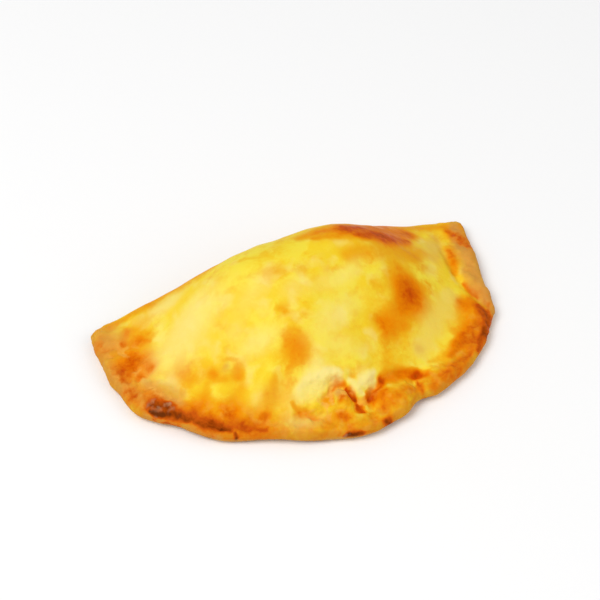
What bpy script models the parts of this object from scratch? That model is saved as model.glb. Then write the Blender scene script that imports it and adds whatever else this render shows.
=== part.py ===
"""A baked half-moon turnover: one round of dough folded over its filling and pinched shut.

The fold lies along X at the back, the pinched rim is the curved side towards -Y, and +Z is up.
Every size is in metres. Plan places are given from the middle of the fold, and the finished
solid is then moved so that its origin is under the middle of its box.
"""

import math
import random

import bmesh
import bpy
from mathutils import Vector, noise
from mathutils.geometry import interpolate_bezier

MM = 0.001
SEED = 7

# The round of dough, folded once
ROUND_RADIUS = 72.3 * MM
FOLD_BULGE = 5.0 * MM
CREST_HEIGHT = 32.0 * MM
HEART = Vector((2.0 * MM, -20.0 * MM))

# The pinched rim: a narrow lip on the left, a broad band on the right
RIM_THICKNESS = 5.2 * MM
RIM_ROUNDING = 2.6 * MM
LIP_WIDTH = 3.5 * MM
BAND_WIDTH = 8.5 * MM
BAND_STARTS = 245.0
BAND_IS_FULL = 300.0
WAVE_HEIGHT = 0.9 * MM
WAVE_REACH = 13.0 * MM
WAVE_FADE = 8.0 * MM
WAVE_COUNT = 9.0

# The swelling over the filling: short and domed in front, long and flat towards the two tips
FRONT_RAMP = 50.0 * MM
TIP_RAMP = 65.0 * MM
RIGHT_TIP_RAMP = 54.0 * MM
TIP_TURN = 45.0
RAMP_EASING = 0.08
SHOULDER_WIDTH = 25.0 * MM
SHOULDER_AT_TIPS = 7.5 * MM
FOLD_EQUATOR = 7.0 * MM
FOLD_FADE = 12.0 * MM
UNDERCUT_WIDTH = 9.0 * MM

# The uneven outline: (degrees round the middle of the fold, how far outside the round)
OUTLINE = (
    (180.0, -1.6 * MM),
    (189.0, -0.2 * MM),
    (200.0, 2.5 * MM),
    (210.0, 5.0 * MM),
    (222.0, 2.2 * MM),
    (229.0, 2.4 * MM),
    (244.0, -0.3 * MM),
    (256.0, 0.6 * MM),
    (269.0, 2.8 * MM),
    (279.0, 1.7 * MM),
    (285.0, -1.0 * MM),
    (291.0, 1.6 * MM),
    (308.0, 2.6 * MM),
    (321.0, 1.9 * MM),
    (340.0, -3.4 * MM),
    (350.0, -3.4 * MM),
    (360.0, -2.2 * MM),
)
OUTLINE_REACH = 18.0 * MM

# Creases in the skin, in mm, each a bend through three plan places: (start, bend, end, depth, half-width)
CREASES = (
    ((-57.5, 1.0), (-59.5, -7.0), (-62.0, -14.0), 0.9, 1.9),
    ((-66.5, -29.5), (-58.0, -46.0), (-43.0, -56.0), 1.9, 2.0),
    ((-48.0, -53.0), (-38.0, -60.0), (-27.0, -61.5), 1.4, 2.1),
    ((3.0, -68.0), (0.5, -59.5), (14.0, -59.6), 1.6, 1.8),
    ((9.0, -60.0), (17.0, -58.6), (25.5, -61.0), 1.3, 2.0),
    ((-10.6, -62.0), (-5.6, -51.5), (-1.0, -68.0), 1.8, 1.7),
    ((-21.5, -56.6), (-20.5, -64.6), (-12.0, -65.0), 1.1, 1.8),
    ((57.5, -7.0), (53.0, -21.0), (55.4, -35.0), 1.2, 2.0),
    ((55.0, -30.0), (58.4, -39.0), (55.6, -50.0), 1.5, 1.9),
    ((22.0, -59.0), (18.0, -64.0), (20.0, -74.0), 1.3, 1.8),
    ((-34.0, -43.0), (-37.0, -50.6), (-41.0, -55.0), 0.9, 2.6),
    ((-20.0, -48.0), (-23.0, -54.4), (-28.0, -59.6), 0.9, 2.5),
    ((32.0, -61.0), (39.0, -58.0), (47.0, -49.0), 0.9, 2.2),
)
CREASE_STEPS = 14
CREASE_SEARCH = 30.0 * MM
CREASE_TAPER = 0.6
GROOVE_SHARE = 1.4
BESIDE_SHARE = 0.5
BESIDE_SPREAD = 2.2

# Puffed places of the skin, in mm: (plan place, height, half-width)
PUFFS = (
    ((11.0, -66.0), 1.7, 5.5),
    ((-6.6, -62.5), 1.4, 2.6),
    ((-29.5, -53.0), 0.8, 3.6),
    ((31.0, -63.5), 1.1, 6.0),
    ((-58.5, -36.0), 1.1, 5.5),
    ((-65.0, -18.0), 0.8, 5.0),
    ((-24.0, -65.0), 0.9, 5.0),
    ((48.5, -44.0), 0.9, 5.5),
    ((63.0, -20.0), 1.1, 6.0),
    ((-46.0, -46.0), 0.8, 5.0),
    ((-52.0, -54.0), 0.8, 3.5),
    ((3.0, -53.0), 0.6, 4.5),
    ((-56.0, -3.0), 1.5, 9.0),
)

# Uneven skin
SWELL_SIZE = 21.0 * MM
SWELL_HEIGHT = 0.9 * MM
SWELL_FADE = 10.0 * MM
CRAG_SIZE = 6.0 * MM
CRAG_HEIGHT = 0.8 * MM
CRAG_REACH = 15.0 * MM
CRAGS_ON_TOP = 0.15
RELIEF_FADE = 2.5 * MM

# Thumb presses along the rim
FIRST_PRESS = 188.0
LAST_PRESS = 354.0
PRESS_STEP = 11.5
PRESS_INSET = 1.0 * MM
PRESS_DEPTH = 0.9 * MM
PRESS_WIDTH = 4.2 * MM

# Mesh of the solid
MERIDIANS = 440
PARALLELS = 170
TRIANGLES = 11000
EDGE_CROWDING = 1.8


def smooth(value):
    """A rise from 0 to 1 with level ends."""
    clamped = min(1.0, max(0.0, value))
    return clamped * clamped * (3.0 - 2.0 * clamped)


def mix(first, second, share):
    return first + (second - first) * share


def quarter_round(value):
    """A quarter of a circle: upright at 0, level at 1."""
    clamped = min(1.0, max(0.0, value))
    return math.sqrt(1.0 - (1.0 - clamped) ** 2)


def bell(distance, half_width):
    return math.exp(-((distance / half_width) ** 2))


def bearing(place):
    """The direction of a plan place from the middle of the fold: 180 to 360 degrees along the rim."""
    if place.y >= 0.0:
        return 360.0 if place.x > 0.0 else 180.0
    return math.degrees(math.atan2(place.y, place.x)) % 360.0


def rim_distance(place):
    """How far a plan place lies inside the round's edge."""
    return max(0.0, ROUND_RADIUS - math.hypot(place.x, min(0.0, place.y)))


def fold_distance(place):
    """How far a plan place lies inside the folded edge."""
    share = min(1.0, abs(place.x) / ROUND_RADIUS)
    return max(0.0, FOLD_BULGE * math.sqrt(1.0 - share * share) - place.y)


def rim_width(degrees):
    share = smooth((degrees - BAND_STARTS) / (BAND_IS_FULL - BAND_STARTS))
    return mix(LIP_WIDTH, BAND_WIDTH, share)


def swelling(place):
    """The share of the crest's height that the filling lifts this plan place by, without the fold."""
    degrees = bearing(place)
    front = smooth((degrees - 180.0) / TIP_TURN) * smooth((360.0 - degrees) / TIP_TURN)
    tip_ramp = mix(TIP_RAMP, RIGHT_TIP_RAMP, smooth(0.5 + place.x / ROUND_RADIUS))
    ramp = mix(tip_ramp, FRONT_RAMP, front)
    along = min(1.0, max(0.0, (rim_distance(place) - rim_width(degrees)) / ramp))
    eased = along * along * (1.0 + RAMP_EASING) / (along + RAMP_EASING)
    return mix(smooth(along) ** 1.1, math.sin(0.5 * math.pi * eased), front)


def equator_height(edge):
    """The height at which the outline stands furthest out."""
    along_fold = max(0.0, 1.0 - (edge.x / ROUND_RADIUS) ** 2)
    at_fold = smooth(1.0 + edge.y / FOLD_FADE)
    return mix(0.5 * RIM_THICKNESS, FOLD_EQUATOR, at_fold * along_fold)


def crease_paths():
    """Each crease as a run of plan places, with its depth and half-width in metres."""
    paths = []
    for start, bend, end, depth, half_width in CREASES:
        points = [Vector((x * MM, y * MM)) for x, y in (start, bend, end)]
        first_handle = points[0].lerp(points[1], 2.0 / 3.0)
        second_handle = points[2].lerp(points[1], 2.0 / 3.0)
        run = interpolate_bezier(points[0], first_handle, second_handle, points[2], CREASE_STEPS)
        paths.append(([point.to_2d() for point in run], depth * MM, half_width * MM))
    return paths


def press_places():
    """Thumb presses, a little uneven, along the middle of the rim."""
    draw = random.Random(SEED)
    places = []
    degrees = FIRST_PRESS
    while degrees < LAST_PRESS:
        reach = ROUND_RADIUS - 0.5 * rim_width(degrees) - PRESS_INSET
        turn = math.radians(degrees)
        places.append((Vector((reach * math.cos(turn), reach * math.sin(turn))), draw.uniform(0.4, 1.0)))
        degrees += PRESS_STEP * draw.uniform(0.75, 1.25)
    return places


def crease_relief(place, paths):
    """Depth of the creases here, with the dough that each one pushes up beside it."""
    height = 0.0
    for run, depth, half_width in paths:
        if (place - run[CREASE_STEPS // 2]).length > CREASE_SEARCH:
            continue
        nearest = min(range(CREASE_STEPS), key=lambda step: (place - run[step]).length_squared)
        first = run[max(0, nearest - 1)]
        last = run[min(CREASE_STEPS - 1, nearest + 1)]
        along = last - first
        share = min(1.0, max(0.0, (place - first).dot(along) / along.length_squared))
        away = (place - first - along * share).length
        progress = (max(0, nearest - 1) + 2.0 * share) / (CREASE_STEPS - 1)
        strength = depth * math.sin(math.pi * min(1.0, max(0.0, progress))) ** CREASE_TAPER
        groove = GROOVE_SHARE * bell(away, half_width)
        height -= strength * (groove - BESIDE_SHARE * bell(away, BESIDE_SPREAD * half_width))
    return height


def skin_relief(place, paths, presses):
    """Everything that makes the upper skin uneven."""
    inside = min(rim_distance(place), fold_distance(place))
    point = place.to_3d()
    height = SWELL_HEIGHT * noise.noise(point / SWELL_SIZE) * smooth(inside / SWELL_FADE)
    near_rim = smooth(1.0 - rim_distance(place) / CRAG_REACH)
    height += CRAG_HEIGHT * noise.noise(point / CRAG_SIZE) * mix(CRAGS_ON_TOP, 1.0, near_rim)
    for middle, puff, half_width in PUFFS:
        height += puff * MM * bell((place - Vector(middle) * MM).length, half_width * MM)
    for middle, strength in presses:
        height -= PRESS_DEPTH * strength * bell((place - middle).length, PRESS_WIDTH)
    height += crease_relief(place, paths)
    return height * smooth(inside / RELIEF_FADE)


def rim_wave(place):
    """How far the baked rim has lifted off the tray."""
    turn = math.radians(bearing(place))
    wave = 0.5 + 0.5 * math.sin(turn * WAVE_COUNT + 2.0 * math.sin(3.0 * turn))
    at_rim = smooth(1.0 - rim_distance(place) / WAVE_REACH) * smooth(fold_distance(place) / WAVE_FADE)
    return WAVE_HEIGHT * wave * at_rim


def outline_shift(place):
    """Moves a plan place out or in with the uneven outline."""
    degrees = bearing(place)
    reach = OUTLINE[-1][1]
    for (first, low), (second, high) in zip(OUTLINE, OUTLINE[1:]):
        if first <= degrees < second:
            reach = mix(low, high, smooth((degrees - first) / (second - first)))
    turn = math.radians(degrees)
    outward = Vector((math.cos(turn), math.sin(turn)))
    return outward * reach * smooth(1.0 - rim_distance(place) / OUTLINE_REACH)


def upper_height(place, equator):
    """The smooth upper skin, from the outline to the crest."""
    rise = swelling(place)
    top = mix(RIM_THICKNESS, CREST_HEIGHT, rise)
    shoulder = mix(SHOULDER_AT_TIPS, SHOULDER_WIDTH, rise)
    at_rim = quarter_round(rim_distance(place) / RIM_ROUNDING)
    at_fold = quarter_round(fold_distance(place) / shoulder)
    return mix(equator, top, at_rim * at_fold)


def lower_height(place, equator):
    """The underside: rounded at the outline, flat where it lay on the tray."""
    nearest = min(rim_distance(place), fold_distance(place))
    at_fold = smooth(equator / FOLD_EQUATOR * 2.0 - 1.0)
    return equator * (1.0 - quarter_round(nearest / mix(RIM_ROUNDING, UNDERCUT_WIDTH, at_fold)))


def pastry_point(direction, paths, presses):
    """Where a point of the unit sphere lies on the turnover: its poles are the crest and the underside."""
    turn = math.atan2(direction.y, direction.x)
    climb = 2.0 * math.asin(max(-1.0, min(1.0, direction.z))) / math.pi
    depth = FOLD_BULGE if direction.y >= 0.0 else ROUND_RADIUS
    edge = Vector((ROUND_RADIUS * math.cos(turn), depth * math.sin(turn)))
    place = edge.lerp(HEART, abs(climb) ** EDGE_CROWDING)
    equator = equator_height(edge)
    if climb >= 0.0:
        height = upper_height(place, equator) + skin_relief(place, paths, presses)
    else:
        height = lower_height(place, equator)
    height += rim_wave(place)
    place += outline_shift(place)
    return Vector((place.x, place.y, height))


def make_crust_material():
    """Egg-washed, golden crust."""
    material = bpy.data.materials.new("crust")
    material.use_nodes = True
    shader = material.node_tree.nodes["Principled BSDF"]
    shader.inputs["Base Color"].default_value = (0.90, 0.56, 0.10, 1.0)
    shader.inputs["Roughness"].default_value = 0.45
    shader.inputs["Metallic"].default_value = 0.0
    return material


def centre_on_base(mesh):
    """Puts the origin under the middle of the mesh, level with its lowest point."""
    low = Vector([min(vertex.co[axis] for vertex in mesh.vertices) for axis in range(3)])
    high = Vector([max(vertex.co[axis] for vertex in mesh.vertices) for axis in range(3)])
    middle = (low + high) / 2.0
    for vertex in mesh.vertices:
        vertex.co -= Vector((middle.x, middle.y, low.z))


def make_pastry(collection):
    """The closed crust, from a sphere whose every point is led to its place on the turnover."""
    paths = crease_paths()
    presses = press_places()
    shape = bmesh.new()
    bmesh.ops.create_uvsphere(shape, u_segments=MERIDIANS, v_segments=PARALLELS, radius=1.0)
    for vertex in shape.verts:
        vertex.co = pastry_point(vertex.co, paths, presses)
    mesh = bpy.data.meshes.new("pastry")
    shape.to_mesh(mesh)
    shape.free()
    centre_on_base(mesh)
    mesh.materials.append(make_crust_material())
    mesh.shade_smooth()
    pastry = bpy.data.objects.new("pastry", mesh)
    collection.objects.link(pastry)
    thinner = pastry.modifiers.new("fewer_faces", "DECIMATE")
    thinner.ratio = TRIANGLES / (2.0 * MERIDIANS * (PARALLELS - 1))


def main():
    for item in list(bpy.data.objects):
        bpy.data.objects.remove(item)
    collection = bpy.data.collections.new("turnover")
    bpy.context.scene.collection.children.link(collection)
    make_pastry(collection)


main()
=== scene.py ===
"""The finished look of a baked half-moon turnover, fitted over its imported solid.

Run as a script it makes the crust, the stage and the camera, in that order. Plan places are in
millimetres of the part's own frame: +X along the fold, -Y towards the pinched rim, +Z up.
"""

import math

import bpy
import numpy as np
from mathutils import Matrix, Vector, noise


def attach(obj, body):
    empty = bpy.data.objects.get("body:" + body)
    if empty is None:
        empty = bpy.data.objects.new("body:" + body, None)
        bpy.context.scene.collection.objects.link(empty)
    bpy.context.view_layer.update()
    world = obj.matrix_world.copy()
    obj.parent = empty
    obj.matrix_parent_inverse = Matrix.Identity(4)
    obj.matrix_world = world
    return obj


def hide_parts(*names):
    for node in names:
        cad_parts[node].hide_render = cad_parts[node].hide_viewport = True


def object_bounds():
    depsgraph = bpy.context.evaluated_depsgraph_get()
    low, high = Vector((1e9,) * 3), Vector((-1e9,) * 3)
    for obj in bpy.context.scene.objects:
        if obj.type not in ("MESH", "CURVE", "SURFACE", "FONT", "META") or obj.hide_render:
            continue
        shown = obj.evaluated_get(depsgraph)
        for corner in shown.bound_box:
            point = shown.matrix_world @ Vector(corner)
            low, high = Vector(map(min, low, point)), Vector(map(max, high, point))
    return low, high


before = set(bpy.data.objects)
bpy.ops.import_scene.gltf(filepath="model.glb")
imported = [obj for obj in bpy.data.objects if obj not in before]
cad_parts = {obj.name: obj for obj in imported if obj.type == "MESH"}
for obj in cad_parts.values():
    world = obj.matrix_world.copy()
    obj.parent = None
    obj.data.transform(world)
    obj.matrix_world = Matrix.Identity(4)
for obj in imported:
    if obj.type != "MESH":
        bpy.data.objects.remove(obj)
CAD_LOW, CAD_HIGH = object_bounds()

bl_info = {
    "name": "Baked Turnover",
    "version": (1, 0, 0),
    "blender": (4, 5, 0),
    "location": "View3D > Sidebar > Turnover",
    "description": "Makes the egg-washed crust of a half-moon turnover, its stage and its camera",
    "category": "Object",
}

MM = 0.001

# The middle of the fold, which the pinched rim runs round
FOLD_SETBACK = 5.0 * MM
FOLD_MIDDLE = Vector((0.0, CAD_HIGH.y - FOLD_SETBACK))

# Fine creases, in mm, each on a curve: (start, bend, end, depth, half-width)
CREASES = (
    ((-60.4, 30.0), (-60.8, 25.8), (-63.4, 20.0), 0.3, 1.2),
    ((-63.5, -1.0), (-57.6, -8.4), (-51.5, -13.6), 0.8, 1.2),
    ((-53.0, -12.4), (-46.0, -20.4), (-36.0, -24.0), 0.7, 1.3),
    ((2.4, -30.6), (4.6, -26.6), (11.0, -25.8), 0.7, 0.9),
    ((12.0, -24.2), (19.0, -23.2), (25.0, -26.6), 0.5, 1.0),
    ((-8.0, -25.0), (-5.0, -20.6), (0.6, -32.8), 0.7, 1.1),
    ((-20.6, -22.4), (-19.4, -27.6), (-13.6, -29.8), 0.4, 1.2),
    ((55.2, 2.0), (57.8, -5.0), (56.4, -13.0), 0.4, 0.9),
    ((20.4, -26.0), (18.0, -30.0), (19.6, -36.0), 0.4, 0.9),
)

# Raised lumps of dough, in mm: (x, y, half-length, half-width, turn in degrees, height)
LUMPS = (
    (-5.4, -25.8, 1.9, 1.6, -20.0, 0.8),
    (-13.0, -19.6, 2.4, 1.5, 0.0, 0.7),
    (-8.4, -19.8, 2.2, 1.4, -10.0, 0.7),
    (-18.0, -21.0, 2.6, 1.8, -10.0, 0.6),
    (-3.6, -20.9, 2.2, 1.3, -30.0, 0.7),
    (0.8, -25.4, 1.3, 2.6, -20.0, 0.6),
    (4.6, -24.2, 2.8, 1.5, 26.0, 0.7),
    (13.6, -24.4, 4.0, 1.6, 8.0, 0.4),
    (-13.2, -26.6, 2.0, 1.8, 0.0, 0.5),
    (-9.0, -29.4, 2.4, 1.5, -20.0, 0.5),
    (-14.6, -33.0, 3.2, 2.0, -20.0, 0.5),
    (-4.4, -34.6, 2.4, 1.8, 10.0, 0.5),
    (10.8, -32.0, 4.6, 3.4, -20.0, 0.7),
    (5.6, -29.6, 2.4, 1.3, 0.0, 0.4),
    (-64.4, 17.6, 1.8, 1.6, 0.0, 0.6),
    (-68.0, 13.0, 1.4, 2.0, 0.0, 0.6),
    (-63.0, 10.8, 1.8, 1.5, -30.0, 0.6),
    (-58.4, 12.6, 1.8, 1.5, 0.0, 0.6),
    (-60.2, 5.6, 1.8, 1.5, -40.0, 0.7),
    (-64.4, 6.6, 1.6, 1.5, -40.0, 0.6),
    (-54.4, -1.2, 2.2, 1.5, -40.0, 0.7),
    (-62.8, 1.2, 1.8, 1.3, -50.0, 0.6),
    (-58.6, -3.6, 1.6, 1.0, -40.0, 0.5),
    (-56.0, -6.8, 1.6, 1.0, -40.0, 0.5),
    (-36.7, -6.2, 1.8, 1.5, -20.0, 0.4),
    (58.6, 6.4, 1.8, 2.6, 10.0, 0.6),
    (61.6, -0.6, 1.4, 2.6, 10.0, 0.6),
    (60.4, -8.6, 1.2, 2.6, 0.0, 0.6),
    (34.0, -27.6, 3.0, 1.6, 20.0, 0.5),
)

# Crumpled zones, in mm: (x, y, half-length, half-width, turn in degrees, strength)
CRUMPLED = (
    (-63.0, 12.0, 7.0, 14.0, 15.0, 1.0),
    (-58.0, -1.0, 8.0, 4.0, -42.0, 0.9),
    (-9.0, -27.0, 12.0, 7.0, -10.0, 0.9),
    (-10.0, -20.6, 9.0, 2.6, -10.0, 0.5),
    (6.0, -27.0, 8.0, 4.0, 10.0, 0.3),
    (50.0, -18.0, 10.0, 5.0, 50.0, 0.5),
    (-40.0, -20.0, 14.0, 5.0, -35.0, 0.4),
)

# Browned strokes, in mm, each on a curve: (start, bend, end, half-width, strength)
BROWN_STROKES = (
    ((-58.6, 29.4), (-60.4, 26.2), (-61.6, 23.2), 1.7, 0.30),
    ((-61.8, 24.6), (-58.6, 22.6), (-53.8, 20.0), 1.7, 0.24),
    ((-58.0, 27.4), (-55.4, 24.0), (-51.8, 21.0), 3.0, 0.20),
    ((-62.4, -6.0), (-59.0, -9.4), (-54.6, -11.4), 1.2, 0.97),
    ((-56.0, -10.0), (-49.6, -16.7), (-42.2, -22.2), 2.2, 0.69),
    ((-51.0, -15.6), (-47.4, -19.0), (-43.2, -21.4), 1.0, 0.30),
    ((-43.4, -21.0), (-37.4, -24.2), (-31.8, -27.0), 2.5, 0.54),
    ((-55.0, -7.8), (-44.5, -15.0), (-31.0, -23.6), 4.4, 0.30),
    ((-40.4, -18.4), (-36.5, -14.8), (-33.0, -11.4), 3.0, 0.22),
    ((-31.0, -23.0), (-27.4, -19.3), (-24.0, -15.8), 2.8, 0.22),
    ((-49.4, -13.2), (-46.4, -10.2), (-43.6, -7.4), 2.6, 0.18),
    ((-41.6, -26.8), (-41.3, -25.4), (-40.8, -24.2), 0.7, 0.92),
    ((-7.4, -23.6), (-5.4, -21.4), (-3.4, -23.4), 1.5, 0.50),
    ((-3.4, -25.0), (-2.4, -27.0), (-1.8, -28.6), 1.5, 0.72),
    ((-1.7, -30.4), (-1.2, -31.6), (-0.6, -33.0), 1.4, 0.60),
    ((-8.4, -23.8), (-8.8, -25.8), (-9.0, -27.6), 1.0, 0.26),
    ((2.4, -29.8), (6.6, -28.2), (9.4, -25.4), 2.2, 0.50),
    ((9.4, -25.6), (15.4, -24.2), (22.0, -25.2), 2.6, 0.47),
    ((4.0, -31.0), (6.8, -31.0), (9.4, -29.6), 1.3, 0.34),
    ((21.4, -28.0), (21.0, -30.6), (20.6, -33.0), 1.1, 0.50),
    ((-9.8, -38.0), (-6.5, -39.5), (-1.6, -40.0), 0.65, 0.88),
    ((-20.8, -24.0), (-18.6, -27.4), (-15.2, -29.8), 1.4, 0.30),
    ((-14.4, -31.0), (-11.0, -32.6), (-7.0, -32.4), 1.7, 0.20),
    ((-24.0, -31.4), (-14.0, -36.0), (-3.0, -37.0), 2.0, 0.08),
    ((49.4, -2.6), (49.4, -11.6), (42.6, -19.6), 4.4, 0.32),
    ((52.6, -16.8), (48.6, -20.6), (44.0, -22.4), 3.2, 0.20),
    ((44.4, -15.8), (40.0, -20.0), (36.0, -22.6), 2.3, 0.36),
    ((54.6, -6.6), (56.2, -12.4), (51.4, -18.6), 2.8, 0.68),
    ((60.4, -2.4), (60.0, -6.0), (57.6, -9.8), 1.3, 0.34),
    ((52.6, -16.6), (50.0, -20.2), (45.8, -22.8), 1.6, 0.50),
    ((51.0, -12.0), (49.0, -16.0), (44.0, -20.0), 3.0, 0.22),
    ((55.8, 5.0), (57.0, 1.8), (57.6, -2.2), 1.6, 0.50),
    ((57.8, 20.4), (56.2, 15.3), (54.6, 10.4), 2.2, 0.36),
    ((62.4, 30.4), (65.6, 25.6), (66.0, 20.6), 2.9, 0.50),
    # The next five strokes darken the top behind the crest: partly browning, partly painted
    # shadow
    ((20.0, 23.0), (32.0, 26.8), (46.0, 28.6), 7.2, 0.54),
    ((3.0, 25.0), (13.0, 24.6), (24.0, 26.4), 5.2, 0.34),
    ((6.0, 21.6), (15.0, 18.0), (25.0, 18.6), 2.0, 0.22),
    ((22.0, 19.6), (32.0, 19.6), (42.0, 22.6), 3.6, 0.48),
    ((14.0, 11.6), (29.0, 12.6), (46.0, 18.0), 5.6, 0.26),
    ((-62.0, 34.0), (0.0, 41.0), (62.0, 34.0), 4.4, 0.30),
    ((24.0, -32.6), (34.0, -30.4), (43.6, -23.0), 2.8, 0.40),
    ((28.6, -22.4), (34.0, -22.8), (40.0, -18.0), 2.4, 0.20),
    ((6.4, -33.6), (12.0, -30.6), (18.4, -31.4), 3.4, 0.28),
    ((-66.4, 10.0), (-66.4, 0.0), (-59.6, -8.6), 2.6, 0.28),
    ((-60.4, -9.6), (-57.0, -11.8), (-52.6, -14.8), 1.2, 0.40),
    ((-55.0, -16.0), (-44.0, -24.6), (-32.0, -30.4), 1.6, 0.24),
)

# Browned spots, in mm: (x, y, half-length, half-width, turn in degrees, strength)
BROWN_SPOTS = (
    (31.3, -0.4, 7.6, 6.3, -80.0, 0.57),
    (29.6, -3.8, 8.6, 7.6, -70.0, 0.22),
    (18.2, -10.4, 5.2, 4.4, -23.0, 0.46),
    (16.0, -17.0, 8.0, 4.0, 0.0, 0.16),
    (12.4, -21.8, 7.4, 2.4, 0.0, 0.16),
    (39.6, 11.6, 5.0, 4.0, 0.0, 0.12),
    (25.2, -6.6, 4.8, 3.8, 30.0, 0.34),
    (-14.0, -10.9, 4.8, 4.0, -23.0, 0.37),
    (-12.4, -12.0, 7.0, 5.4, -23.0, 0.10),
    (-23.0, -20.4, 4.2, 4.2, 0.0, 0.16),
    (-48.8, 1.8, 7.0, 5.0, -20.0, 0.25),
    (-41.6, -4.2, 3.4, 3.0, 0.0, 0.14),
    (-30.6, -25.4, 3.0, 2.4, 0.0, 0.12),
    (-40.7, -5.4, 1.8, 2.0, 0.0, 0.32),
    (-34.5, -4.3, 2.2, 1.2, -23.0, 0.24),
    (-32.8, -8.0, 2.4, 2.2, 0.0, 0.30),
    (-36.8, -6.6, 3.4, 3.0, 0.0, 0.08),
    (-38.6, -8.6, 2.8, 1.3, -23.0, 0.24),
    (-34.1, -9.4, 2.2, 1.2, -23.0, 0.20),
    (-14.5, 0.3, 2.2, 1.6, -23.0, 0.18),
    (-66.2, 13.0, 2.4, 2.6, 0.0, 0.36),
    (-65.6, 10.4, 1.7, 1.6, 0.0, 0.14),
    (-62.8, 15.2, 2.2, 1.8, 0.0, 0.22),
    (-60.4, 17.0, 2.2, 3.6, 10.0, 0.30),
    (-56.6, 9.6, 2.0, 1.5, -23.0, 0.34),
    (-61.3, 8.3, 2.0, 1.6, -23.0, 0.30),
    (-61.5, 14.0, 6.8, 8.8, 10.0, 0.42),
    (-57.4, 11.6, 4.6, 4.0, -23.0, 0.20),
    (-55.0, 17.0, 4.0, 5.0, -23.0, 0.16),
    (-65.6, 25.4, 4.6, 5.0, 0.0, 0.22),
    (-54.8, 28.4, 6.0, 2.8, 14.0, 0.20),
    (57.0, 21.8, 5.0, 3.4, 0.0, 0.14),
    (-48.3, 27.6, 4.6, 1.7, 8.0, 0.08),
    (-61.2, -4.4, 1.8, 1.6, 0.0, 0.60),
    (-58.2, -6.6, 4.0, 2.0, -42.0, 0.84),
    (-59.0, -2.8, 4.6, 2.5, -42.0, 0.50),
    (-30.6, -28.4, 4.4, 2.2, -23.0, 0.28),
    (-7.4, -32.4, 2.6, 1.4, -23.0, 0.40),
    (22.3, -25.4, 2.5, 2.0, -23.0, 0.57),
    (25.2, -26.8, 1.8, 1.8, 0.0, 0.34),
    (-6.0, -29.8, 6.0, 3.4, -20.0, 0.16),
    (-1.6, -38.0, 4.0, 2.0, 0.0, 0.10),
    (52.0, -3.4, 4.0, 3.6, 0.0, 0.30),
    (8.6, -29.6, 2.4, 1.8, 0.0, 0.16),
    (3.4, -30.0, 1.8, 1.4, 0.0, 0.20),
    (0.2, -22.6, 1.9, 1.9, 0.0, 0.28),
    (-59.4, 0.6, 3.4, 2.4, -40.0, 0.24),
    (-19.0, -17.6, 5.4, 5.0, 0.0, 0.10),
    (-10.4, -25.6, 1.8, 1.6, 0.0, 0.14),
    (5.4, -38.9, 1.8, 1.1, 10.0, 0.88),
    (-10.8, -26.3, 1.4, 2.0, 20.0, 0.30),
    (42.0, 13.6, 3.0, 2.4, 0.0, 0.14),
    (-11.4, 21.7, 6.0, 3.4, 0.0, 0.12),
    (-12.8, 12.6, 5.2, 3.0, 0.0, 0.22),
    (-24.0, 23.0, 8.0, 2.6, 20.0, 0.10),
    (24.3, -11.6, 2.2, 1.8, 0.0, 0.24),
    (19.0, -4.0, 3.0, 2.4, 0.0, 0.13),
    (39.4, 1.6, 2.4, 2.2, 0.0, 0.13),
    (-13.1, -0.8, 2.6, 2.4, 0.0, 0.12),
    (-5.3, -27.9, 1.6, 1.2, 0.0, 0.55),
    (-4.0, -29.6, 1.4, 1.1, 0.0, 0.20),
    (53.8, -3.4, 2.2, 2.4, 0.0, 0.24),
    (52.0, -6.9, 2.4, 2.0, 0.0, 0.18),
    (48.4, -2.2, 2.0, 2.6, 0.0, 0.12),
    (50.6, 14.6, 2.4, 3.0, 0.0, 0.10),
    (60.8, 28.6, 3.0, 2.6, 0.0, 0.18),
    (66.6, 31.0, 3.4, 2.6, 0.0, 0.24),
    (56.8, -11.0, 1.6, 2.6, 0.0, 0.30),
    (49.0, -20.0, 2.0, 1.6, 0.0, 0.22),
    (37.0, -26.6, 3.0, 2.0, 20.0, 0.16),
    (-19.3, -11.6, 3.0, 2.6, 0.0, 0.10),
    (-0.5, -35.4, 3.0, 2.0, 0.0, 0.10),
    (41.8, -14.5, 1.8, 2.0, 0.0, 0.20),
    (-61.0, 2.2, 2.4, 2.0, 0.0, 0.12),
)

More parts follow.
